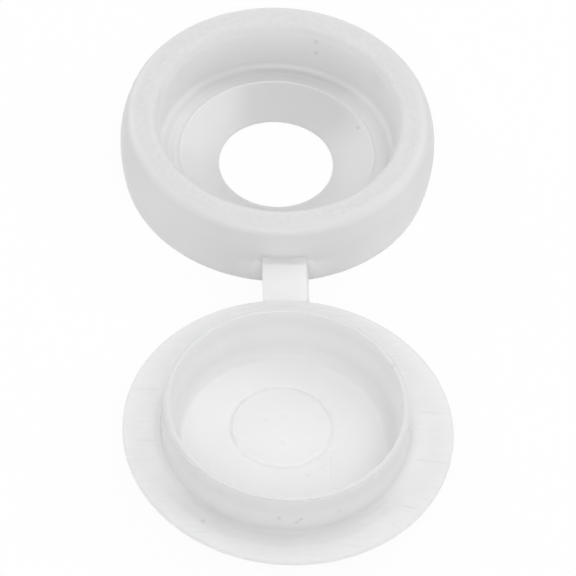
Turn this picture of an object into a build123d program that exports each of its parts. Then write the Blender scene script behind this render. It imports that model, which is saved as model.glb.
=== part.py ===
from build123d import *
import os
from math import radians, sqrt, tan

os.makedirs("parts", exist_ok=True)

# Screw cover cap, moulded in one piece and shown open as it leaves the mould. Millimetres, +Z up.
# The origin lies on the screw axis, in the plane of the washer's resting face.
# The lid lies towards -Y, and the strap between them folds it over onto the washer.

# Parting plane: the washer's widest belt, the strap's top face and the top of the lid's flange share it
parting_height = 1.75

# Washer and lid share one diameter, so that the closed lid ends flush with the washer's belt
cap_diameter = 14.0

# Washer, with insets counted inwards from the belt
washer_height = 3.4
base_inset = 0.2
base_edge_chamfer = 0.1
rim_width = 1.67
shoulder_inset = 0.35
shoulder_round = 0.5
lip_round = 0.5

# Screw hole and countersink in the washer's floor
hole_diameter = 5.1
hole_land = 0.1
ledge_width = 1.07
floor_height = 0.85
floor_edge_chamfer = 0.1

# Lid: a domed disc with a thin flange
lid_edge = 0.15
dome_height = 1.75

# Lid: the plug ring that stands on it, and the pocket inside the ring
plug_height = 1.97
plug_land = 0.24
plug_outer_draft = 3.0
plug_inner_draft = 6.5
plug_edge_chamfer = 0.05
plug_foot_round = 0.25
pocket_depth = 0.65
pocket_round = 0.25

# The plug ring stands further out than the disc, which leaves the strap some slack round the fold
plug_setback = 0.2

# The disc and the strap stand to +X of the ring, by the play between the two mould halves
disc_shift = 0.15

# Strap that joins them and bends as the hinge
strap_length = 2.25
strap_width = 1.92
strap_thickness = 0.4
strap_draft = 5.0

# Fit of the plug in the washer's mouth, on the radius
plug_clearance = 0.08

# Radii and places that follow from the sizes above
washer_radius = cap_diameter / 2
disc_radius = cap_diameter / 2
disc_distance = washer_radius + strap_length + disc_radius
plug_distance = disc_distance + plug_setback
base_radius = washer_radius - base_inset
mouth_radius = washer_radius - rim_width
countersink_radius = mouth_radius - ledge_width
hole_radius = hole_diameter / 2

# The plug's foot, its widest part, fits the mouth
plug_foot_radius = mouth_radius - plug_clearance
plug_radius = plug_foot_radius - plug_height * tan(radians(plug_outer_draft))
plug_inner_radius = plug_radius - plug_land
pocket_radius = plug_inner_radius - (plug_height + pocket_depth) * tan(radians(plug_inner_draft))

# The dome is a shallow spherical cap
dome_rise = dome_height - lid_edge
dome_radius = (disc_radius**2 + dome_rise**2) / (2 * dome_rise)


def disc_radius_at(depth):
    """Radius of the dome's outer face at a depth under the flange's top."""
    if depth <= lid_edge:
        return disc_radius
    centre_height = dome_radius - dome_height
    return sqrt(dome_radius**2 - (centre_height + depth) ** 2)


def corner(sketch, point):
    """The sketch's vertex nearest to a named point of its outline."""
    return sketch.vertices().sort_by_distance(Vector(*point))[0]


with BuildPart() as screw_cap:
    # Washer: half section from the hole outwards, over the barrel-shaped wall and down into the cup
    hole_bottom = (hole_radius, 0)
    hole_top = (hole_radius, hole_land)
    base_edge = (base_radius, 0)
    belt = (washer_radius, parting_height)
    shoulder = (washer_radius - shoulder_inset, washer_height)
    lip = (mouth_radius, washer_height)
    cup_corner = (mouth_radius, floor_height)
    countersink_edge = (countersink_radius, floor_height)
    with BuildSketch(Plane.XZ) as washer_section:
        with BuildLine():
            Line(hole_bottom, base_edge)
            TangentArc(belt, base_edge, tangent=(0, -1))
            TangentArc(belt, shoulder, tangent=(0, 1))
            Polyline(shoulder, lip, cup_corner, countersink_edge, hole_top, hole_bottom)
        make_face()
        chamfer(corner(washer_section, base_edge), base_edge_chamfer)
        fillet(corner(washer_section, shoulder), shoulder_round)
        fillet(corner(washer_section, lip), lip_round)
        chamfer(corner(washer_section, cup_corner), floor_edge_chamfer)
    revolve(axis=Axis.Z)

    # Lid's disc: half section on its own axis, heights counted from the parting plane
    disc_origin = (disc_shift, -disc_distance, parting_height)
    dome_bottom = (0, -dome_height)
    dome_side = (disc_radius_at(dome_height / 2), -dome_height / 2)
    flange_under = (disc_radius, -lid_edge)
    flange_edge = (disc_radius, 0)
    with BuildSketch(Plane(origin=disc_origin, x_dir=(1, 0, 0), z_dir=(0, -1, 0))):
        with BuildLine():
            ThreePointArc(dome_bottom, dome_side, flange_under)
            Polyline(flange_under, flange_edge, (0, 0), dome_bottom)
        make_face()
    revolve(axis=Axis(disc_origin, (0, 0, 1)))

    # Strap: runs from inside the washer's wall to where the dome hides its underside
    strap_start = washer_radius - (washer_radius - mouth_radius) / 2
    strap_end = disc_distance - (disc_radius_at(strap_thickness) - strap_width / 2)
    strap_base_width = strap_width - 2 * strap_thickness * tan(radians(strap_draft))
    strap_origin = (disc_shift, -strap_start, parting_height)
    with BuildSketch(Plane(origin=strap_origin, x_dir=(1, 0, 0), z_dir=(0, -1, 0))):
        with BuildLine():
            Polyline(
                (-strap_width / 2, 0),
                (strap_width / 2, 0),
                (strap_base_width / 2, -strap_thickness),
                (-strap_base_width / 2, -strap_thickness),
                close=True,
            )
        make_face()
    extrude(amount=strap_end - strap_start)

    # Plug ring: a solid plug with a rounded foot, sunk a little into the disc, on the ring's axis
    plug_origin = (0, -plug_distance, parting_height)
    plug_axis = Axis(plug_origin, (0, 0, 1))
    plug_plane = Plane(origin=plug_origin, x_dir=(1, 0, 0), z_dir=(0, -1, 0))
    plug_foot = (plug_foot_radius, 0)
    plug_top_edge = (plug_radius, plug_height)
    skirt_radius = plug_foot_radius + 2 * plug_foot_round
    with BuildSketch(plug_plane) as plug_section:
        with BuildLine():
            Polyline((0, -lid_edge), (skirt_radius, -lid_edge), (skirt_radius, 0), plug_foot)
            Polyline(plug_foot, plug_top_edge, (0, plug_height), (0, -lid_edge))
        make_face()
        fillet(corner(plug_section, plug_foot), plug_foot_round)
        chamfer(corner(plug_section, plug_top_edge), plug_edge_chamfer)
    revolve(axis=plug_axis)

    # Pocket: opens at the plug's land and ends below the flange, where the disc's dome takes over
    land_edge = (plug_inner_radius + plug_edge_chamfer, plug_height)
    land_foot = (plug_inner_radius, plug_height - plug_edge_chamfer)
    pocket_edge = (pocket_radius, -pocket_depth)
    with BuildSketch(plug_plane) as pocket_section:
        with BuildLine():
            Polyline((0, plug_height), land_edge, land_foot, pocket_edge, (0, -pocket_depth), close=True)
        make_face()
        fillet(corner(pocket_section, pocket_edge), pocket_round)
    revolve(axis=plug_axis, mode=Mode.SUBTRACT)

screw_cap.part.label = "screw_cap"
export_step(screw_cap.part, "parts/screw_cap.step")
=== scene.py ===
# %% [markdown]
# # A fold-over screw cover cap
#
# This lesson dresses a small white plastic moulding: a countersunk washer, a thin strap and a lid
# with an upstanding plug ring. A screw goes through the washer, and the lid folds over and hides its
# head. The whole cap is one moulding, so it is one mesh with one material. What makes it look real is
# the form of its half sections, the small marks that the mould left on it, and soft light.
#
# The CAD model gives the frame. It is loaded first. The finished mesh may not grow past it.

from math import asin, cos, degrees, pi, radians, sin, sqrt, tan

import bpy
from mathutils import Matrix, Quaternion, Vector


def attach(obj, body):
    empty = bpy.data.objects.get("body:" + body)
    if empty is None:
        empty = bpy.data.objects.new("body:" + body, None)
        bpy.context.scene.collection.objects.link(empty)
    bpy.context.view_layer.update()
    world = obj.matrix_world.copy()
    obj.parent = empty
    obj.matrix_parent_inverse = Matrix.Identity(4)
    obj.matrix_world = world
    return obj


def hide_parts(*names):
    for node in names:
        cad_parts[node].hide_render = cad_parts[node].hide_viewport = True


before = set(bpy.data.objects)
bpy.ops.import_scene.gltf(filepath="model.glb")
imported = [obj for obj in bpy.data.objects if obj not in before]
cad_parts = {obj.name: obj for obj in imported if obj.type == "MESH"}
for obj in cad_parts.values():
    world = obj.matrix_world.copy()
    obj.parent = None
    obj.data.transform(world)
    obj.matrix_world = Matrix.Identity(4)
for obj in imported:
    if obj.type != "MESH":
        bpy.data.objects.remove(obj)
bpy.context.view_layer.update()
MM = 0.001

# %% [markdown]
# ## Camera
#
# The photograph was taken with a long lens, from above the lid and a little to its left. The view is
# given as a photographer would: the point looked at, the distance, how far the camera stands above
# and beside the cap, and its roll. The focal length is counted in pixels of the picture, which makes
# it easy to measure, and turned into millimetres for Blender's 36 mm sensor.

# %% Place the camera
PICTURE_WIDTH = 576
SENSOR_WIDTH = 36.0
FOCAL_PIXELS = 4330.0
LOOK_AT = Vector((0.4, -7.11, 0.0)) * MM
DISTANCE = 190.0 * MM
ELEVATION = radians(50.41)
YAW = radians(-4.23)
ROLL = radians(3.98)

towards_camera = Vector((sin(YAW) * cos(ELEVATION), -cos(YAW) * cos(ELEVATION), sin(ELEVATION)))
camera_data = bpy.data.cameras.new("camera")
camera_data.sensor_width = SENSOR_WIDTH
camera_data.lens = FOCAL_PIXELS / PICTURE_WIDTH * SENSOR_WIDTH
camera_data.clip_start = 0.01
camera_data.clip_end = 10.0
camera = bpy.data.objects.new("camera", camera_data)
camera.location = LOOK_AT + towards_camera * DISTANCE
camera.rotation_mode = "QUATERNION"
camera.rotation_quaternion = towards_camera.to_track_quat("Z", "Y") @ Quaternion((0, 0, 1), ROLL)
bpy.context.scene.collection.objects.link(camera)
bpy.context.scene.camera = camera
print("The lens is", round(camera_data.lens, 1), "mm")

# %% [markdown]
# ## The mould's frame
#
# All sizes of the cap are in millimetres, and heights are counted from the plane that it rests on. The
# mould opens along one flat, the parting plane. The washer's widest belt, the top of the strap and the
# top of the lid's disc all lie in it. Washer and disc share one radius, so that the closed lid ends
# flush with the belt.
#
# The disc and the plug ring on it come from different halves of the mould, so their axes are a hair
# apart. The ring also stands a little further out than the disc, which gives the fold some slack.

# %% Shared sizes and axes
PARTING_HEIGHT = 1.75
CAP_RADIUS = 7.0
DISC_AXIS = (0.15, -16.25)
PLUG_AXIS = (0.01, -16.4)
print("Overall length", round(2 * CAP_RADIUS - DISC_AXIS[1], 2), "mm")

# %% [markdown]
# ## Half sections
#
# Both round parts were turned in the mould's steel, so each is a half section spun about its axis. A
# section is a closed list of points, each a radius and a height. Straight stretches need only their
# ends, and arcs are worked out from a centre, a radius and two angles. Two more helpers give a small
# raised ring, such as the tool left on the washer's floor, and the long arcs of the washer's wall.


# %% Helpers for sections
def arc(centre, radius, start, end, steps):
    """Points along an arc in a section, from one angle to another, in degrees."""
    points = []
    for step in range(steps + 1):
        angle = radians(start + (end - start) * step / steps)
        points.append((centre[0] + radius * cos(angle), centre[1] + radius * sin(angle)))
    return points


def raised_ring(radius, height, width, rise, steps=8):
    """Points of a low rounded ring on a flat, from its outer foot to its inner foot."""
    points = []
    for step in range(steps + 1):
        along = step / steps
        points.append((radius + width * (0.5 - along), height + rise * (1 - cos(2 * pi * along)) / 2))
    return points


def wall_arc(inset, height):
    """Centre and radius of an arc that leaves the belt upright and has moved inwards at a height."""
    radius = (height**2 + inset**2) / (2 * inset)
    return CAP_RADIUS - radius, radius


print("A quarter arc of 4 steps has", len(arc((0, 0), 1, 0, 90, 4)), "points")

# %% [markdown]
# ## The washer's wall and rim
#
# From the hole's lower edge the section runs out along the resting face and up the barrel-shaped
# wall. The wall is widest at the parting plane and leans in above and below it, so that the part
# leaves both halves of the mould. A round shoulder and a softer lip make the rim. Each arc ends where
# the next one starts in the same direction, so the angles are worked out and not guessed.

# %% Outer half of the washer's section
WASHER_HEIGHT = 3.4
BASE_RADIUS = 6.8
BASE_CHAMFER = 0.1
SHOULDER_INSET = 0.35
SHOULDER_ROUND = 0.5
MOUTH_RADIUS = 5.33
LIP_ROUND = 0.5
HOLE_RADIUS = 2.55
HOLE_RELIEF = 0.08

low_x, low_radius = wall_arc(CAP_RADIUS - BASE_RADIUS, PARTING_HEIGHT)
low_angle = degrees(asin((PARTING_HEIGHT - BASE_CHAMFER) / low_radius))
high_x, high_radius = wall_arc(SHOULDER_INSET, WASHER_HEIGHT - PARTING_HEIGHT)
shoulder_z = WASHER_HEIGHT - SHOULDER_ROUND
high_angle = degrees(asin((shoulder_z - PARTING_HEIGHT) / (high_radius - SHOULDER_ROUND)))
shoulder_x = high_x + (high_radius - SHOULDER_ROUND) * cos(radians(high_angle))
lip_centre = (MOUTH_RADIUS + LIP_ROUND, WASHER_HEIGHT - LIP_ROUND)

washer_section = [(HOLE_RADIUS + HOLE_RELIEF, 0.0), (BASE_RADIUS - BASE_CHAMFER, 0.0)]
washer_section += arc((low_x, PARTING_HEIGHT), low_radius, -low_angle, 0, 16)
washer_section += arc((high_x, PARTING_HEIGHT), high_radius, 0, high_angle, 8)[1:]
washer_section += arc((shoulder_x, shoulder_z), SHOULDER_ROUND, high_angle, 90, 14)[1:]
washer_section += arc(lip_centre, LIP_ROUND, 90, 180, 14)
print("The rim is", round(shoulder_x - lip_centre[0], 2), "mm wide between its two rounds")

# %% [markdown]
# ## The washer's cup
#
# The inner wall goes down into the cup, a round leads to a flat ledge, and the ledge to the shallow
# countersink. The ledge has two fine rings that a turning tool left in the steel. The countersink's
# edge is a thin bead that catches light. The cone ends at the hole's edge, a little above the resting
# face, and below that edge the hole opens out again by a hair, so the edge looks thin.

# %% Inner half of the washer's section
FLOOR_HEIGHT = 0.85
FLOOR_EDGE_ROUND = 0.36
LEDGE_RINGS = (4.86, 4.6)
LEDGE_RING_WIDTH = 0.2
LEDGE_RING_RISE = 0.012
COUNTERSINK_RADIUS = 4.26
BEAD_WIDTH = 0.12
BEAD_RISE = 0.045
HOLE_EDGE_HEIGHT = 0.14

floor_corner = (MOUTH_RADIUS - FLOOR_EDGE_ROUND, FLOOR_HEIGHT + FLOOR_EDGE_ROUND)
washer_section += arc(floor_corner, FLOOR_EDGE_ROUND, 0, -90, 6)
for ring_radius in LEDGE_RINGS:
    washer_section += raised_ring(ring_radius, FLOOR_HEIGHT, LEDGE_RING_WIDTH, LEDGE_RING_RISE)
washer_section += raised_ring(COUNTERSINK_RADIUS + BEAD_WIDTH / 2, FLOOR_HEIGHT, BEAD_WIDTH, BEAD_RISE)
washer_section += [(HOLE_RADIUS, HOLE_EDGE_HEIGHT)]
print("The washer's section has", len(washer_section), "points")

# %% [markdown]
# ## The lid's disc
#
# The lid is made of three sections: a disc, a plug that stands on it and a pocket cut down into both.
# The disc's outer side lies underneath while the cap is open. It is a shallow dome, part of a sphere,
# and it ends in a thin flange, so three sizes are enough for it.

# %% Section of the disc
DISC_EDGE = 0.15
DOME_HEIGHT = 1.75
DOME_STEPS = 40

dome_rise = DOME_HEIGHT - DISC_EDGE
dome_radius = (CAP_RADIUS**2 + dome_rise**2) / (2 * dome_rise)
dome_edge_angle = degrees(asin(CAP_RADIUS / dome_radius))
dome_centre = (0.0, PARTING_HEIGHT - DOME_HEIGHT + dome_radius)
disc_section = arc(dome_centre, dome_radius, -90, -90 + dome_edge_angle, DOME_STEPS)
disc_section += [(CAP_RADIUS, PARTING_HEIGHT), (0.0, PARTING_HEIGHT)]
print("The dome is part of a sphere of", round(dome_radius, 1), "mm")

# %% [markdown]
# ## The plug
#
# The plug leans in on its outside, so that it leaves the mould and finds its way into the washer's
# mouth. A hollow round at its foot touches both the flange and the leaning wall. The land on top has a
# small step at its outer edge, which shows as a thin dark line all round. The section is solid here,
# because the pocket is cut later.

# %% Section of the plug
PLUG_FOOT_RADIUS = 5.25
PLUG_HEIGHT = 1.97
PLUG_OUTER_DRAFT = radians(3.0)
PLUG_FOOT_ROUND = 0.25
PLUG_ROOT = 0.12
LAND_STEP_WIDTH = 0.06
LAND_STEP_DROP = 0.06


def reach(lean, radius):
    """How far from its corner a round touches a flat that meets a wall leaning by some degrees."""
    return radius * tan(radians(90 - lean) / 2)


plug_top = PARTING_HEIGHT + PLUG_HEIGHT
plug_radius = PLUG_FOOT_RADIUS - PLUG_HEIGHT * tan(PLUG_OUTER_DRAFT)
step_radius = plug_radius - LAND_STEP_WIDTH
foot_lean = degrees(PLUG_OUTER_DRAFT)
foot_centre = (PLUG_FOOT_RADIUS + reach(foot_lean, PLUG_FOOT_ROUND), PARTING_HEIGHT + PLUG_FOOT_ROUND)

plug_section = [(0.0, PARTING_HEIGHT - PLUG_ROOT), (foot_centre[0], PARTING_HEIGHT - PLUG_ROOT)]
plug_section += arc(foot_centre, PLUG_FOOT_ROUND, 270, 180 - foot_lean, 12)
plug_section += [(plug_radius, plug_top - LAND_STEP_DROP), (step_radius, plug_top - LAND_STEP_DROP)]
plug_section += [(step_radius, plug_top), (0.0, plug_top)]
print("The plug's land is", round(2 * plug_radius, 2), "mm across its outer edge")

# %% [markdown]
# ## The pocket
#
# The pocket leaves a thin wall inside the plug and goes on down below the flange, which saves plastic
# and leaves room for the screw's head. It leans in more than the plug does, so the wall is thinnest at
# the land. Its section reaches a little above the plug, because a cutter that ends exactly on a face
# leaves a Boolean in doubt.

# %% Section of the pocket
PLUG_LAND = 0.24
PLUG_INNER_DRAFT = radians(6.5)
POCKET_DEPTH = 0.65
POCKET_ROUND = 0.5
LAND_CHAMFER = 0.03
CUT_ABOVE = 0.3

mouth_radius = plug_radius - PLUG_LAND
mouth_edge = mouth_radius + LAND_CHAMFER
pocket_height = PARTING_HEIGHT - POCKET_DEPTH
pocket_radius = mouth_radius - (PLUG_HEIGHT + POCKET_DEPTH) * tan(PLUG_INNER_DRAFT)
floor_lean = degrees(PLUG_INNER_DRAFT)
floor_round_centre = (pocket_radius - reach(floor_lean, POCKET_ROUND), pocket_height + POCKET_ROUND)

pocket_section = [(0.0, pocket_height)]
pocket_section += arc(floor_round_centre, POCKET_ROUND, -90, -floor_lean, 10)
pocket_section += [(mouth_radius, plug_top - LAND_CHAMFER), (mouth_edge, plug_top)]
pocket_section += [(mouth_edge, plug_top + CUT_ABOVE), (0.0, plug_top + CUT_ABOVE)]
print("The pocket's wall leans in from", round(mouth_radius, 2), "mm to", round(pocket_radius, 2), "mm")

# %% [markdown]
# ## Wires and graphs
#
# The same two small classes write the geometry trees and the material. A wire stands for an output
# socket, and Python's operators work on it: each one adds a Math node, also where the number comes
# first, as in 1 - mask. A graph adds any other node from its type, its settings and the values or
# links of its inputs.


# %% A wire
class Wire:
    """An output socket. The operators + - * and ** add Math nodes."""

    def __init__(self, graph, socket):
        self.graph = graph
        self.socket = socket

    def math(self, operation, *values):
        return self.graph.add("ShaderNodeMath", {"operation": operation}, dict(enumerate(values)))

    def __add__(self, other):
        return self.math("ADD", self, other)

    def __radd__(self, other):
        return self.math("ADD", other, self)

    def __sub__(self, other):
        return self.math("SUBTRACT", self, other)

    def __rsub__(self, other):
        return self.math("SUBTRACT", other, self)

    def __mul__(self, other):
        return self.math("MULTIPLY", self, other)

    def __rmul__(self, other):
        return self.math("MULTIPLY", other, self)

    def __pow__(self, other):
        return self.math("POWER", self, other)

    def __rpow__(self, other):
        return self.math("POWER", other, self)

    def __neg__(self):
        return self.math("MULTIPLY", self, -1.0)

    def __abs__(self):
        return self.math("ABSOLUTE", self)


# %% A graph
class Graph:
    """A node tree. The add method makes one node and gives back one of its outputs as a wire."""

    def __init__(self, tree):
        self.tree = tree

    def add(self, kind, settings=None, inputs=None, output=0):
        node = self.tree.nodes.new(kind)
        for name, value in (settings or {}).items():
            setattr(node, name, value)
        for key, value in (inputs or {}).items():
            self.feed(node.inputs[key], value)
        return Wire(self, node.outputs[output])

    def feed(self, socket, value):
        """Links a wire, or each wire of a list, to an input, or sets the input's value."""
        if isinstance(value, list):
            for wire in value:
                self.tree.links.new(wire.socket, socket)
        elif isinstance(value, Wire):
            self.tree.links.new(value.socket, socket)
        else:
            socket.default_value = value

    def axes(self, vector):
        """Three wires, one for each part of a vector."""
        parts = self.add("ShaderNodeSeparateXYZ", {}, {"Vector": vector})
        return [Wire(self, socket) for socket in parts.socket.node.outputs]


# %% [markdown]
# ## From a tree to a plain mesh
#
# A Geometry Nodes tree starts with named inputs and ends in Realize Instances and Set Material. To use
# it, a carrier object holds the source mesh and the modifier, each input is set by its socket's
# identifier, and the evaluated result is copied into a plain mesh. Then the carrier goes, and its
# modifier with it.


# %% Start, end and use a geometry tree
def geometry_graph(name, sockets):
    """A Geometry Nodes tree with the named inputs, and wires to them."""
    tree = bpy.data.node_groups.new(name, "GeometryNodeTree")
    tree.interface.new_socket("Geometry", in_out="OUTPUT", socket_type="NodeSocketGeometry")
    for socket_name, kind in sockets.items():
        tree.interface.new_socket(socket_name, in_out="INPUT", socket_type="NodeSocket" + kind)
    graph = Graph(tree)
    group_input = tree.nodes.new("NodeGroupInput")
    wires = {socket_name: Wire(graph, group_input.outputs[socket_name]) for socket_name in sockets}
    return graph, wires


def end_tree(graph, result, material):
    """Ends a tree in Realize Instances and Set Material."""
    real = graph.add("GeometryNodeRealizeInstances", {}, {"Geometry": result})
    dressed = graph.add("GeometryNodeSetMaterial", {}, {"Geometry": real, "Material": material})
    output = graph.tree.nodes.new("NodeGroupOutput")
    graph.feed(output.inputs["Geometry"], dressed)


def baked(name, source, tree, values):
    """The plain mesh that a tree makes of a source mesh."""
    carrier = bpy.data.objects.new(name + "_carrier", source)
    bpy.context.scene.collection.objects.link(carrier)
    modifier = carrier.modifiers.new("build", "NODES")
    modifier.node_group = tree
    for item in tree.interface.items_tree:
        if item.in_out == "INPUT" and item.name in values:
            modifier[item.identifier] = values[item.name]
    bpy.context.view_layer.update()
    evaluated = carrier.evaluated_get(bpy.context.evaluated_depsgraph_get())
    mesh = bpy.data.meshes.new_from_object(evaluated)
    mesh.name = name
    bpy.data.objects.remove(carrier)
    return mesh


# %% [markdown]
# ## The material, made empty first
#
# The geometry trees set the material by name, so it exists before them. Its nodes come later.

# %% An empty material
white_plastic = bpy.data.materials.new("white_plastic")
white_plastic.use_nodes = True
print("The material is called", white_plastic.name)

# %% [markdown]
# ## Spinning a section
#
# A Screw modifier could spin a section, but one node tree with named inputs serves all six of them.
# Blender can sweep one curve along another. The section becomes the profile, and the path is a small
# circle round the axis. The profile is shifted by the circle's own radius, so that its radii are
# counted from the axis again. Where the section touches the axis, the sweep leaves a heap of points
# in one place, and Merge by Distance closes them into a pole.

# %% The spinning tree
GUIDE_RADIUS = 1.0
SPIN_STEPS = 288
MERGE_DISTANCE = 0.0005

spin, wire = geometry_graph(
    "spin_section",
    {"Section": "Geometry", "Guide Radius": "Float", "Steps": "Int", "Axis": "Vector", "Finish": "Material"},
)
shift = spin.add("ShaderNodeCombineXYZ", {}, {"X": -wire["Guide Radius"]})
profile = spin.add("GeometryNodeTransform", {}, {"Geometry": wire["Section"], "Translation": shift})
profile = spin.add("GeometryNodeMeshToCurve", {}, {"Mesh": profile})
circle = {"Resolution": wire["Steps"], "Radius": wire["Guide Radius"]}
guide = spin.add("GeometryNodeCurvePrimitiveCircle", {}, circle)
guide = spin.add("GeometryNodeSetCurveNormal", {"mode": "Z_UP"}, {"Curve": guide})
swept = spin.add("GeometryNodeCurveToMesh", {}, {"Curve": guide, "Profile Curve": profile})
closed = spin.add("GeometryNodeMergeByDistance", {}, {"Geometry": swept, "Distance": MERGE_DISTANCE})
outward = spin.add("GeometryNodeFlipFaces", {}, {"Mesh": closed})
placed = spin.add("GeometryNodeTransform", {}, {"Geometry": outward, "Translation": wire["Axis"]})
end_tree(spin, placed, wire["Finish"])
print("The spinning tree has", len(spin.tree.nodes), "nodes")


# %% Spin the washer, the disc, the plug and the pocket
def spun(name, section, axis=(0.0, 0.0)):
    """A closed mesh, in millimetres, of a section spun about an upright axis."""
    outline = bpy.data.meshes.new(name + "_section")
    edges = [(i, (i + 1) % len(section)) for i in range(len(section))]
    outline.from_pydata([(radius, -height, 0.0) for radius, height in section], edges, [])
    sizes = {"Guide Radius": GUIDE_RADIUS, "Steps": SPIN_STEPS, "Axis": (*axis, 0.0)}
    mesh = baked(name, outline, spin.tree, {**sizes, "Finish": white_plastic})
    print(name, "has", len(mesh.polygons), "faces")
    return mesh


washer_mesh = spun("washer", washer_section)
disc_mesh = spun("disc", disc_section, DISC_AXIS)
plug_mesh = spun("plug", plug_section, PLUG_AXIS)
pocket_mesh = spun("pocket", pocket_section, PLUG_AXIS)

# %% [markdown]
# ## The pin's mark
#
# An ejector pin pushed the cap out of the mould while the plastic was still soft. On the pocket's floor
# it left a round mark, a little off centre, with a low blister inside a fine groove. The blister is a
# thin lens to be added, and the groove is a ring to be cut. Both are spun by the same tree.

# %% Blister and groove of the pin's mark
PIN_CENTRE = (-0.09, -15.66)
PIN_RADIUS = 2.08
BLISTER_RISE = 0.05
BLISTER_ROOT = 0.3
GROOVE_WIDTH = 0.16
GROOVE_DEPTH = 0.06

blister_radius = (PIN_RADIUS**2 + BLISTER_RISE**2) / (2 * BLISTER_RISE)
blister_angle = degrees(asin(PIN_RADIUS / blister_radius))
blister_centre = (0.0, pocket_height + BLISTER_RISE - blister_radius)
blister_section = [(0.0, pocket_height - BLISTER_ROOT), (PIN_RADIUS, pocket_height - BLISTER_ROOT)]
blister_section += arc(blister_centre, blister_radius, 90 - blister_angle, 90, 20)
blister_mesh = spun("pin_blister", blister_section, PIN_CENTRE)

# A circle with only its lowest part in the floor; 24 points go round it
groove_radius = (GROOVE_DEPTH**2 + (GROOVE_WIDTH / 2) ** 2) / (2 * GROOVE_DEPTH)
groove_centre = (PIN_RADIUS + GROOVE_WIDTH / 2, pocket_height - GROOVE_DEPTH + groove_radius)
groove_mesh = spun("pin_groove", arc(groove_centre, groove_radius, 0, 345, 23), PIN_CENTRE)

# %% [markdown]
# ## The strap's section
#
# The strap was milled into one half of the mould. Its left side leans in below the top face and its
# right side leans out, which shows there as a thin darker line. The section goes round from the top's
# right edge, and each point is a place across the strap and a height.

# %% Section of the strap
STRAP_WIDTH = 1.92
STRAP_THICKNESS = 0.4
STRAP_EDGE_ROUND = 0.07
STRAP_DRAFT = radians(5.0)
STRAP_LEAN_OUT = 0.11

half = STRAP_WIDTH / 2
strap_foot = PARTING_HEIGHT - STRAP_THICKNESS
edge_centre = (half - STRAP_EDGE_ROUND, PARTING_HEIGHT - STRAP_EDGE_ROUND)
right_side = arc(edge_centre, STRAP_EDGE_ROUND, 90, 0, 5)
left_side = [(-x, z) for x, z in reversed(right_side)]
strap_outline = right_side + [(half + STRAP_LEAN_OUT, strap_foot)]
strap_outline += [(-half + STRAP_THICKNESS * tan(STRAP_DRAFT), strap_foot)] + left_side
print("The strap is", STRAP_WIDTH, "mm wide on top")

# %% [markdown]
# ## The strap's run
#
# The section is pushed along Y from inside the washer's wall to under the lid's flange, through a row
# of stations. A curve with a bevel could do that, but a small hollow round leads from the strap's top
# face up into the washer's wall, and there the section changes. So the mesh is built straight from
# points and faces: the first stations stand close together and lift the top.

# %% Stations, points and faces of the strap
STRAP_START = -6.165
STRAP_END = -10.55
STRAP_ROOT_ROUND = 0.27
STRAP_ROOT_SHARE = 0.6
ROOT_STATIONS = 8
FREE_STATIONS = 8


def root_rise(y):
    """How far the root's hollow round lifts the strap's top face."""
    gap = min(max(-CAP_RADIUS - y, 0.0), STRAP_ROOT_ROUND)
    return STRAP_ROOT_SHARE * (STRAP_ROOT_ROUND - sqrt(STRAP_ROOT_ROUND**2 - (STRAP_ROOT_ROUND - gap) ** 2))


root_end = -CAP_RADIUS - STRAP_ROOT_ROUND
stations = [STRAP_START]
stations += [-CAP_RADIUS - STRAP_ROOT_ROUND * i / ROOT_STATIONS for i in range(ROOT_STATIONS + 1)]
stations += [root_end + (STRAP_END - root_end) * (i + 1) / FREE_STATIONS for i in range(FREE_STATIONS)]

count = len(strap_outline)
strap_points = []
for y in stations:
    for x, z in strap_outline:
        strap_points.append((DISC_AXIS[0] + x, y, z + root_rise(y) if z > strap_foot else z))
last = (len(stations) - 1) * count
strap_faces = []
for first in range(0, last, count):
    for i in range(count):
        j = (i + 1) % count
        strap_faces.append((first + i, first + count + i, first + count + j, first + j))
strap_faces += [tuple(range(count)), tuple(reversed(range(last, last + count)))]
strap_mesh = bpy.data.meshes.new("strap")
strap_mesh.from_pydata(strap_points, [], strap_faces)
print("The strap is", round(STRAP_START - STRAP_END, 2), "mm long with its two roots")

# %% [markdown]
# ## One moulding
#
# The washer, the disc, the strap, the plug and the blister are joined by Booleans, because the real cap
# is one piece and light passes through it as through one piece. The pocket is cut before the blister
# is added, and the groove is cut last. Where faces nearly coincide, Booleans leave points a hair apart,
# so Merge by Distance follows them. The tree takes the other meshes as objects, which only live as
# long as it needs them.

# %% The joining tree
TOOLS = {
    "Disc": disc_mesh, "Strap": strap_mesh, "Plug": plug_mesh,
    "Pocket": pocket_mesh, "Blister": blister_mesh, "Groove": groove_mesh,
}

inputs = {"Washer": "Geometry", **{name: "Object" for name in TOOLS}, "Finish": "Material"}
join, wire = geometry_graph("join_moulding", inputs)
as_made = {"transform_space": "ORIGINAL"}
solids = {
    name: join.add("GeometryNodeObjectInfo", as_made, {"Object": wire[name]}, "Geometry") for name in TOOLS
}


def joined(*parts):
    """The union of closed meshes."""
    settings = {"operation": "UNION", "solver": "MANIFOLD"}
    return join.add("GeometryNodeMeshBoolean", settings, {"Mesh 2": list(parts)})


def cut(body, tool):
    """A closed mesh less another."""
    settings = {"operation": "DIFFERENCE", "solver": "MANIFOLD"}
    return join.add("GeometryNodeMeshBoolean", settings, {"Mesh 1": body, "Mesh 2": tool})


outside = joined(wire["Washer"], solids["Disc"], solids["Strap"], solids["Plug"])
hollow = cut(outside, solids["Pocket"])
moulding = cut(joined(hollow, solids["Blister"]), solids["Groove"])
clean = join.add("GeometryNodeMergeByDistance", {}, {"Geometry": moulding, "Distance": MERGE_DISTANCE})
end_tree(join, clean, wire["Finish"])
print("The joining tree has", len(join.tree.nodes), "nodes")

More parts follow.
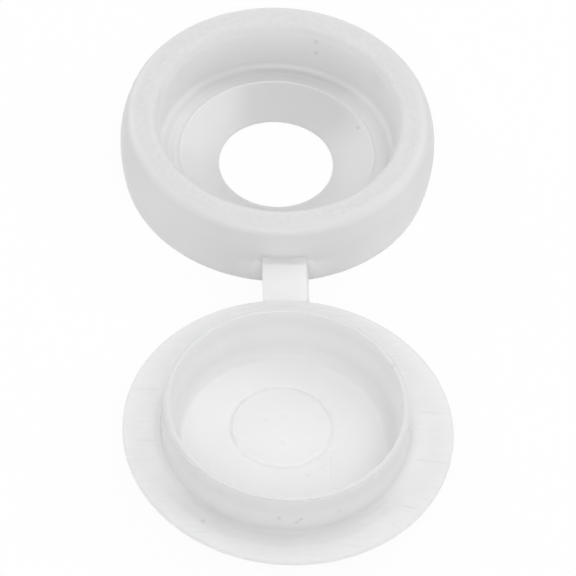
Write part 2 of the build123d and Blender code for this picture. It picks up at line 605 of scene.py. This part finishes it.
# %% [markdown]
# ## The finished mesh
#
# The result is turned into a plain mesh in metres. It is shaded smooth, and only edges sharper than a
# set angle stay crisp, such as the land's step and the strap's lower edges.

# %% Join everything into one mesh
SHARP_ANGLE = radians(28)

tools = {}
for name, mesh in TOOLS.items():
    tools[name] = bpy.data.objects.new(name, mesh)
    bpy.context.scene.collection.objects.link(tools[name])
cap_mesh = baked("cap_moulding", washer_mesh, join.tree, {**tools, "Finish": white_plastic})
for tool in tools.values():
    bpy.data.objects.remove(tool)
cap_mesh.transform(Matrix.Scale(MM, 4))
cap_mesh.shade_smooth()
cap_mesh.set_sharp_from_angle(angle=SHARP_ANGLE)
cap = bpy.data.objects.new("cap_moulding", cap_mesh)
bpy.context.scene.collection.objects.link(cap)
cap_mesh.calc_loop_triangles()
print("The moulding has", len(cap_mesh.loop_triangles), "triangles")

# %% [markdown]
# ## White polyethylene
#
# The plastic is white and lets a little light in, which softens every shadow on it. That is what
# subsurface scattering does: light travels on the order of a millimetre inside before it comes out.
# These values are the same all over, so they are set on the shader's own sockets.

# %% The plastic's body
SCATTER_WEIGHT = 0.9
SCATTER_DISTANCE = 0.7 * MM
SURFACE_SHINE = 0.45

plastic = Graph(white_plastic.node_tree)
shader = white_plastic.node_tree.nodes["Principled BSDF"]
shader.inputs["Subsurface Weight"].default_value = SCATTER_WEIGHT
shader.inputs["Subsurface Radius"].default_value = (1.0, 1.0, 1.0)
shader.inputs["Subsurface Scale"].default_value = SCATTER_DISTANCE
shader.inputs["Specular IOR Level"].default_value = SURFACE_SHINE
print("Light travels about", round(SCATTER_DISTANCE / MM, 2), "mm in the plastic")

# %% [markdown]
# ## Where a point lies
#
# The finish differs from face to face, but the moulding is one mesh. So the material reads the
# object's own coordinates, turned into millimetres, and works out how far each point lies from the
# axes of the washer, the disc and the plug. Soft steps of those distances then mark a zone: 1 inside
# it, 0 outside. A zone of this kind stays on the part from every side and under any light.

# %% Coordinates, distances and soft steps
coordinates = plastic.add("ShaderNodeTexCoord", {}, {}, "Object")
place = plastic.add("ShaderNodeVectorMath", {"operation": "SCALE"}, {0: coordinates, "Scale": 1 / MM})
x, y, z = plastic.axes(place)


def radius_about(axis):
    """Distance from an upright axis."""
    across, along = x - axis[0], y - axis[1]
    return (across * across + along * along) ** 0.5


def rising(value, low, high):
    """0 below low, 1 above high and a soft step between them."""
    settings = {"interpolation_type": "SMOOTHSTEP"}
    return plastic.add("ShaderNodeMapRange", settings, {"Value": value, "From Min": low, "From Max": high})


def falling(value, low, high):
    """1 below low, 0 above high and a soft step between them."""
    return 1 - rising(value, low, high)


def within(value, low, high, soft):
    """1 between low and high, with a soft step at both."""
    return rising(value, low - soft, low + soft) * falling(value, high - soft, high + soft)


def noise(vector, scale, detail=2.0):
    """Noise from 0 to 1, with its scale in waves per millimetre."""
    return plastic.add("ShaderNodeTexNoise", {}, {"Vector": vector, "Scale": scale, "Detail": detail}, "Fac")


washer_r = radius_about((0.0, 0.0))
disc_r = radius_about(DISC_AXIS)
plug_r = radius_about(PLUG_AXIS)
pin_r = radius_about(PIN_CENTRE)
from_strap = abs(x - DISC_AXIS[0])
print("So far the plastic has", len(white_plastic.node_tree.nodes), "nodes")

# %% [markdown]
# ## Tones
#
# Most of these tones are painted light and shade. Thin walls are painted lighter, as the light that
# passes through them, and edges, feet and corners are painted darker, as the shade that falls there.
# Each zone below adds its tone to one list: the zone, and how much lighter or darker it is, matched to
# the photograph. The list is summed up at the end, on top of the plastic's own lightness. The bounds of
# the zones are in millimetres: radii round an axis, heights, and places across and along the cap.
#
# Not every tone is the plastic's own. Those on one side only, named far, near, side or beside, stand
# for light and shade in the photograph that the lamps don't give. They stay on the part under any
# light, which is their price. Leave them out for the plastic alone.
#
# The washer's zones come first. The cup is a thin shell round the hole and is painted lighter than
# the wall, as light that fills it. Its wall and the ledge beside the cone are painted lighter still,
# and the countersink's bead has a painted highlight. The cone's far side, the foot of the far wall
# and the hole's edge are painted darker, as shade.

# %% Zones of the washer's cup
in_cup = falling(washer_r, 5.2, 5.5) * falling(z, 3.0, 3.3)
cup_wall_painted_light = in_cup * rising(washer_r, 5.0, 5.25)
bead_painted_highlight = in_cup * within(washer_r, COUNTERSINK_RADIUS, COUNTERSINK_RADIUS + BEAD_WIDTH, 0.02)
beside_cone_painted_light = in_cup * rising(washer_r, 4.35, 4.6) * falling(abs(y), 1.8, 3.2)
far_cone_painted_shade = falling(abs(x - 1.0), 1.8, 3.4) * rising(y, 0.6, 2.6) * falling(washer_r, 4.2, 4.4)
far_foot_painted_shade = in_cup * rising(y, 3.0, 4.6) * rising(washer_r, 4.3, 4.5) * falling(z, 1.2, 2.8)
hole_edge_painted_shade = falling(washer_r, HOLE_RADIUS, HOLE_RADIUS + 0.13)

# Painted light in the cup, on its wall, on the bead and beside the cone; painted shade on the cone's far
# side, at the far wall's foot and at the hole's edge
tones = [(in_cup, 0.03), (cup_wall_painted_light, 0.09), (bead_painted_highlight, 0.025), (beside_cone_painted_light, 0.035)]
tones += [(far_cone_painted_shade, -0.09), (far_foot_painted_shade, -0.09), (hole_edge_painted_shade, -0.1)]
print("Zones of the cup:", len(tones))

# %% [markdown]
# ## The washer's outside and the strap
#
# Towards the lid the washer's outer wall is painted a little lighter, as light, and so is all that lies
# further that way. To the sides and behind it is painted a little darker, as shade. The strap is thin
# all through and lets light through, so it is painted by far the lightest. Its root is thick again and
# painted darker, as shade, and close beside it the wall and the corners by the strap are painted
# lighter, as light against the shade there.

# %% Zones of the outer wall and the strap
near_wall_painted_light = rising(washer_r, 6.3, 6.6) * falling(z, 2.6, 3.2) * falling(y, -5.0, -1.0)
side_wall_painted_shade = rising(washer_r, 6.5, 6.75) * rising(y, -5.0, -1.0)
strap_painted_light = within(y, -9.3, -7.24, 0.07) * falling(z, 1.77, 1.85)
strap_root_painted_shade = falling(from_strap, 0.95, 1.1) * within(y, -7.22, -6.9, 0.05) * within(z, 1.76, 2.1, 0.02)
beside_strap_painted_light = falling(from_strap, 1.0, 2.4) * within(y, -7.2, -6.3, 0.2) * falling(z, 1.2, 1.75)
strap_corner_painted_light = within(from_strap, 1.0, 1.3, 0.12) * within(y, -7.25, -6.3, 0.1) * falling(z, 1.5, 1.8)

# Painted light on the near wall, the strap, beside the strap and at its corners; painted shade on the side
# walls and at the strap's root
tones += [(near_wall_painted_light, 0.035), (side_wall_painted_shade, -0.04), (strap_painted_light, 0.15), (strap_root_painted_shade, -0.055)]
tones += [(beside_strap_painted_light, 0.12), (strap_corner_painted_light, 0.1)]
print("Zones so far:", len(tones))

# %% [markdown]
# ## The flange and the plug
#
# The flange is thin and painted light, as light through it, and lighter still close to the plug, against
# the shade there. Its very edge is painted dark, a line of shade. The plug's outer wall is painted darker
# towards its land, as shade. The land is a little darker, and its step is painted darkest on the far
# side, as the shade in the step. Nearest to the viewer of the photograph, the plug's foot lies in a soft
# painted shadow.

# %% Zones of the flange and the plug
on_flange = rising(plug_r, 5.25, 5.65) * falling(disc_r, 7.05, 7.1) * within(z, 1.72, 1.86, 0.02)
flange_edge_painted_shade = on_flange * rising(disc_r, 6.9, 6.96)
by_plug_painted_light = on_flange * falling(plug_r, 5.7, 6.5) * rising(y, -20.0, -18.0)
near_foot_painted_shadow = within(plug_r, 5.25, 6.0, 0.15) * within(z, 1.72, 2.1, 0.2) * falling(y, -20.8, -19.0)
plug_side_painted_shade = within(plug_r, 5.1, 5.4, 0.03) * within(z, 1.85, 3.66, 0.05)
on_land = within(plug_r, 4.85, 5.2, 0.03) * rising(z, 3.62, 3.68)
land_step_painted_shade = within(plug_r, 5.07, 5.2, 0.02) * rising(z, 3.6, 3.65)

# Painted light on the flange and by the plug; painted shade at the flange's edge, at the near foot, on the
# plug's side and in the land's step
tones += [(on_flange, 0.02), (flange_edge_painted_shade, -0.08), (by_plug_painted_light, 0.04), (near_foot_painted_shadow, -0.06)]
tones += [(plug_side_painted_shade * (z - 1.4), -0.03), (on_land, -0.05)]
tones += [(land_step_painted_shade * (0.02 + rising(y, -16.0, -13.5) * 0.07), -1.0)]
print("Zones so far:", len(tones))

# %% [markdown]
# ## The lid's floor
#
# The floor under the pocket is thin enough to let light through, and it is painted lighter, as that light
# glowing. It is painted lightest towards its rim and at its far end, and it is slightly mottled, as the
# plastic cooled unevenly there. The pin's groove is painted darker, as the shade in it. That shade fades
# towards the right, and towards the near side, where the blister itself is painted darker instead, as
# the shade on its near slope.

# %% Zones of the lid's floor
mottled = noise(place, 1.9) - 0.5
on_lid_floor = falling(plug_r, 4.1, 4.45) * within(z, 0.95, 1.7, 0.15)
far_floor_painted_light = on_lid_floor * rising(y, -14.6, -13.2)
pocket_foot_painted_light = falling(plug_r, 4.7, 4.9) * within(z, 0.95, 1.6, 0.25)
pin_near = falling(y, -17.4, -16.2)
near_blister_painted_shade = falling(pin_r, 1.9, 2.1) * pin_near * on_lid_floor
pin_groove_painted_shade = within(pin_r, PIN_RADIUS, PIN_RADIUS + GROOVE_WIDTH, 0.03) * on_lid_floor
pin_groove_painted_shade = pin_groove_painted_shade * (1 - pin_near * 0.7) * (1 - rising(x, 0.6, 1.7) * 0.5)

# Painted light on the floor, at its far end and at the pocket's foot; painted shade on the blister's near
# half and in the groove
tones += [(on_lid_floor * (0.15 + rising(plug_r, 2.3, 4.0) * 0.045 + mottled * 0.03), 1.0)]
tones += [(far_floor_painted_light, 0.06), (pocket_foot_painted_light, 0.05), (near_blister_painted_shade, -0.065), (pin_groove_painted_shade, -0.11)]
print("Zones in all:", len(tones))

# %% [markdown]
# ## The eroded rim
#
# The mould's steel was left spark-eroded at the rim, so the rim is finely grained and duller than the
# rest. A fine noise gives the pits, and a wider one makes some patches coarser than others. Heights
# are kept in millimetres all the way, and one Bump node reads their sum.

# %% Grain of the rim
GRAIN_PER_MM = 4.5
GRAIN_HEIGHT = 0.016

rim_zone = within(washer_r, MOUTH_RADIUS + 0.02, CAP_RADIUS - 0.7, 0.03)
on_rim = rim_zone * rising(z, WASHER_HEIGHT - 0.25, WASHER_HEIGHT - 0.05)
grain = noise(place, GRAIN_PER_MM, 3.0)
patchy = noise(place, 0.9, 1.0)
rim_height = on_rim * grain * (0.6 + patchy * 0.8) * GRAIN_HEIGHT
tones += [(on_rim * (grain - 0.5), -0.1)]
print("A pit of the rim is about", round(1 / GRAIN_PER_MM, 2), "mm wide")

# %% [markdown]
# ## The ground flange
#
# The mould's parting face was ground flat, and the wheel's marks run across the flange along X. They
# are noise stretched by a Mapping node: its waves are long along X and short along Y.

# %% Grinding marks
MARKS_STRETCH = (1.1, 8.0, 1.0)
MARKS_TURN = radians(1.5)
MARKS_HEIGHT = 0.012

stretch = {"Vector": place, "Scale": MARKS_STRETCH, "Rotation": (0.0, 0.0, MARKS_TURN)}
streaks = noise(plastic.add("ShaderNodeMapping", {}, stretch), 1.0) - 0.5
flange_height = on_flange * streaks * MARKS_HEIGHT
tones += [(on_flange * streaks, 0.06)]
print("The marks are", round(MARKS_STRETCH[1] / MARKS_STRETCH[0], 1), "times as long as wide")

# %% [markdown]
# ## Single scratches
#
# A few marks on the flange and on the lid's floor are deep enough to see one by one. Each is a
# straight line from one place to another, with its own width and depth. They could be thin cutters,
# but marks a hundredth of a millimetre deep are cheaper and softer in the material. A Mapping node
# moves and turns the pattern to the line's start, and soft steps say how far along and beside the line
# a point lies.

# %% Scratches on the flange and on the floor
SCRATCH_DEPTH = 0.012
SCRATCH_END = 0.12
FLANGE_LINES = (
    ((-6.41, -14.19), (-5.39, -14.23), 0.07, 1.0),
    ((-6.32, -16.94), (-5.56, -16.99), 0.07, 0.6),
    ((-6.53, -18.0), (-5.69, -18.02), 0.06, 0.35),
    ((-4.2, -21.76), (-3.2, -21.64), 0.06, 0.5),
    ((5.68, -15.26), (7.04, -15.34), 0.07, 0.6),
    ((5.49, -17.81), (6.84, -18.01), 0.07, 0.9),
    ((4.73, -20.2), (5.48, -20.4), 0.07, 0.9),
    ((5.66, -19.88), (6.08, -20.03), 0.06, 0.6),
    ((4.28, -21.19), (4.69, -21.39), 0.06, 0.5),
    ((2.25, -22.29), (3.49, -22.43), 0.06, 0.35),
)
FLOOR_LINES = (
    ((2.08, -16.81), (1.55, -17.82), 0.07, 1.4),
    ((1.99, -17.18), (1.92, -18.4), 0.07, 1.0),
    ((1.24, -17.3), (1.49, -17.4), 0.07, 1.4),
)


def line_mask(start, end, width):
    """1 along a straight line on a flat, from one place to another in millimetres."""
    way = Vector(end) - Vector(start)
    turn = Vector((1, 0)).angle_signed(way)
    inputs = {"Vector": place, "Location": (*start, 0.0), "Rotation": (0.0, 0.0, -turn)}
    run, side, _ = plastic.axes(plastic.add("ShaderNodeMapping", {"vector_type": "TEXTURE"}, inputs))
    return within(run, 0.0, way.length, SCRATCH_END) * falling(abs(side), width * 0.2, width)


scratches = 0.0
for zone, lines in ((on_flange, FLANGE_LINES), (on_lid_floor, FLOOR_LINES)):
    for start, end, width, depth in lines:
        scratches = scratches + zone * line_mask(start, end, width) * depth
print("Scratches:", len(FLANGE_LINES) + len(FLOOR_LINES))

# %% [markdown]
# ## Specks
#
# A used cap has picked up a little dirt. A noise could scatter specks, but a few listed ones look more
# like chance. Each has its own place, size and strength, and darkens the plastic softly round its
# centre. Their places were picked on the photograph, as the scratches' ends were, carried onto the
# part through the fitted camera and rounded. They are sorted by the face that they lie on.

# %% Specks of dirt
SPECKS = {
    "plug's land and inner wall": (
        ((4.86, -16.2, 3.37), 0.14, 1.0),
        ((4.55, -14.35, 3.7), 0.14, 0.9),
    ),
    "plug's outer wall and foot": (
        ((3.45, -20.27, 3.55), 0.14, 0.4),
        ((5.07, -17.46, 3.32), 0.12, 0.5),
        ((2.11, -21.2, 2.57), 0.15, 0.6),
        ((-5.18, -16.92, 2.39), 0.18, 0.7),
        ((-2.83, -20.77, 3.28), 0.16, 0.5),
        ((-3.49, -21.13, 1.75), 0.16, 0.7),
        ((-0.38, -21.62, 2.61), 0.18, 0.8),
        ((0.37, -21.64, 2.37), 0.18, 0.7),
        ((0.53, -21.61, 2.54), 0.15, 0.9),
    ),
    "lid's floor": (
        ((-0.76, -15.34, 1.2), 0.19, 0.5),
        ((0.01, -15.1, 1.2), 0.19, 0.35),
        ((-0.07, -16.55, 1.2), 0.20, 0.4),
        ((-1.69, -17.2, 1.1), 0.16, 0.5),
        ((0.97, -18.22, 1.1), 0.16, 0.5),
    ),
    "washer's cup": (
        ((1.79, 5.01, 2.79), 0.19, 0.6),
        ((1.82, 5.0, 2.07), 0.19, 0.7),
        ((3.7, 1.66, 0.76), 0.15, 0.9),
    ),
}

dirt = 0.0
for face, specks in SPECKS.items():
    for centre, size, strength in specks:
        away = plastic.add("ShaderNodeVectorMath", {"operation": "DISTANCE"}, {0: place, 1: centre}, "Value")
        dirt = dirt + falling(away, 0.0, size) * strength
    print("Specks on the", face + ":", len(specks))

# %% [markdown]
# ## Colour
#
# The plastic's own lightness, a slow cloudiness and all the tones, with the painted light and shade among
# them, are added up. Scratches and specks then darken the sum. The colour is grey of that lightness with
# a trace more blue, as the photograph's white balance shows it.

# %% Lightness and colour
PLASTIC_LEVEL = 0.768
CLOUDINESS = 0.03
SCRATCH_SHADE = 0.06
DIRT_SHADE = 0.2
BLUE_TRACE = 1.004

cloudy = noise(place, 0.55) - 0.5
lightness = PLASTIC_LEVEL + cloudy * CLOUDINESS
for zone, change in tones:
    lightness = lightness + zone * change
lightness = lightness * (1 - scratches * SCRATCH_SHADE) * (1 - dirt * DIRT_SHADE)

channels = {"Red": lightness, "Green": lightness, "Blue": lightness * BLUE_TRACE}
plastic.feed(shader.inputs["Base Color"], plastic.add("ShaderNodeCombineColor", {}, channels))
print("Tones in the sum:", len(tones))

# %% [markdown]
# ## Gloss and bump
#
# The smooth walls have a satin gloss that wavers a little, the flange is slightly duller and the
# grained rim much duller. Two smooth noises give the skin the slight waviness of every moulded face,
# and the rim's grain, the grinding marks and the scratches are added to them as one height.

# %% Roughness and height
SATIN = 0.34
RIM_DULLER = 0.26
FLANGE_DULLER = 0.06
GLOSS_WAVER = 0.08
SKIN_WAVES = 0.006
SKIN_RIPPLE = 0.0012

gloss_waves = noise(place, 1.7) - 0.5
roughness = SATIN + on_rim * RIM_DULLER + on_flange * FLANGE_DULLER + gloss_waves * GLOSS_WAVER
plastic.feed(shader.inputs["Roughness"], roughness)

skin = noise(place, 1.3) * SKIN_WAVES + noise(place, 5.0, 1.0) * SKIN_RIPPLE
height = skin + rim_height + flange_height - scratches * SCRATCH_DEPTH
bump = plastic.add("ShaderNodeBump", {}, {"Strength": 1.0, "Distance": MM, "Height": height})
plastic.feed(shader.inputs["Normal"], bump)
print("The plastic has", len(white_plastic.node_tree.nodes), "nodes")

# %% [markdown]
# ## Floor
#
# The cap was photographed on white. The floor is a pale diffuse plane that lights the cap from below
# and takes its shadow. What the camera and the reflections see of it is mostly plain white, with a
# small share of a real surface, so that the shadow still shows faintly. The Light Path node tells the
# two uses apart.


# %% Helper for what is seen
def seen_rays(graph):
    """1 for camera, glossy and transmission rays, and 0 for the rays that light the object."""
    camera_ray = graph.add("ShaderNodeLightPath", {}, {}, "Is Camera Ray")
    glossy_ray = graph.add("ShaderNodeLightPath", {}, {}, "Is Glossy Ray")
    transmission_ray = graph.add("ShaderNodeLightPath", {}, {}, "Is Transmission Ray")
    return camera_ray + glossy_ray + transmission_ray


# %% Floor
WHITE = (1.0, 1.0, 1.0, 1.0)
FLOOR_SIZE = 2.0
FLOOR_COLOUR = (0.98, 0.98, 0.98, 1.0)
WHITE_SHARE = 0.93

floor_paint = bpy.data.materials.new("white_floor")
floor_paint.use_nodes = True
floor_paint.node_tree.nodes.clear()
paint = Graph(floor_paint.node_tree)
lighting = paint.add("ShaderNodeBsdfDiffuse", {}, {"Color": FLOOR_COLOUR})
glow = paint.add("ShaderNodeEmission", {}, {"Color": WHITE, "Strength": 1.0})
pale = paint.add("ShaderNodeBsdfDiffuse", {}, {"Color": WHITE})
seen = paint.add("ShaderNodeMixShader", {}, {0: WHITE_SHARE, 1: pale, 2: glow})
mixed = paint.add("ShaderNodeMixShader", {}, {0: seen_rays(paint), 1: lighting, 2: seen})
floor_output = floor_paint.node_tree.nodes.new("ShaderNodeOutputMaterial")
paint.feed(floor_output.inputs["Surface"], mixed)

floor_mesh = bpy.data.meshes.new("floor")
edge = FLOOR_SIZE / 2
floor_corners = [(-edge, -edge, 0), (edge, -edge, 0), (edge, edge, 0), (-edge, edge, 0)]
floor_mesh.from_pydata(floor_corners, [], [(0, 1, 2, 3)])
floor_mesh.materials.append(floor_paint)
floor = bpy.data.objects.new("floor", floor_mesh)
bpy.context.scene.collection.objects.link(floor)
print("The floor is", FLOOR_SIZE, "m square")

# %% [markdown]
# ## World
#
# The world gives the even light of a studio with white walls. The camera sees it as plain white, by
# the same helper as on the floor, so the picture's background has no edge.

# %% World
WORLD_LEVEL = 0.47

world = bpy.data.worlds.new("studio")
bpy.context.scene.world = world
world.use_nodes = True
world.node_tree.nodes.clear()
sky = Graph(world.node_tree)
white_wall = sky.add("ShaderNodeBackground", {}, {"Color": WHITE, "Strength": 1.0})
soft_light = sky.add("ShaderNodeBackground", {}, {"Color": WHITE, "Strength": WORLD_LEVEL})
sky_mix = sky.add("ShaderNodeMixShader", {}, {0: seen_rays(sky), 1: soft_light, 2: white_wall})
sky_output = world.node_tree.nodes.new("ShaderNodeOutputWorld")
sky.feed(sky_output.inputs["Surface"], sky_mix)
print("The world lights the cap at", WORLD_LEVEL)

# %% [markdown]
# ## Lamps
#
# Five large lamps stand round the cap, so that no side of it falls into deep shade. The one in front is
# the strongest. Their levels were fitted to the photograph's tones. A lamp's level is the grey that a white surface facing it would
# get from it alone, and its power in watts follows from that and from the distance.

# %% Lamps
LAMP_DISTANCE = 0.6
LAMP_SIZE = 0.45
# Name, degrees round the cap from the front towards the right, degrees above the floor, level
LAMPS = (
    ("key_lamp", 135, 50, 0.19),
    ("front_lamp", 0, 50, 0.35),
    ("back_left_lamp", 225, 20, 0.2),
    ("right_lamp", 90, 20, 0.1),
    ("left_lamp", 270, 50, 0.04),
)

for name, azimuth, elevation, level in LAMPS:
    turn, rise = radians(azimuth), radians(elevation)
    direction = Vector((sin(turn) * cos(rise), -cos(turn) * cos(rise), sin(rise)))
    lamp_data = bpy.data.lights.new(name, "AREA")
    lamp_data.shape = "SQUARE"
    lamp_data.size = LAMP_SIZE
    lamp_data.energy = level * (pi * LAMP_DISTANCE) ** 2
    lamp = bpy.data.objects.new(name, lamp_data)
    lamp.location = LOOK_AT + direction * LAMP_DISTANCE
    lamp.rotation_mode = "QUATERNION"
    lamp.rotation_quaternion = direction.to_track_quat("Z", "Y")
    bpy.context.scene.collection.objects.link(lamp)
    print(name, "gives", round(lamp_data.energy, 2), "W")

bpy.context.scene.view_settings.view_transform = "Standard"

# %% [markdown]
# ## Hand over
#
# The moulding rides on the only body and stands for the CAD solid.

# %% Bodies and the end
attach(cap, "root")
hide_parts("screw_cap")
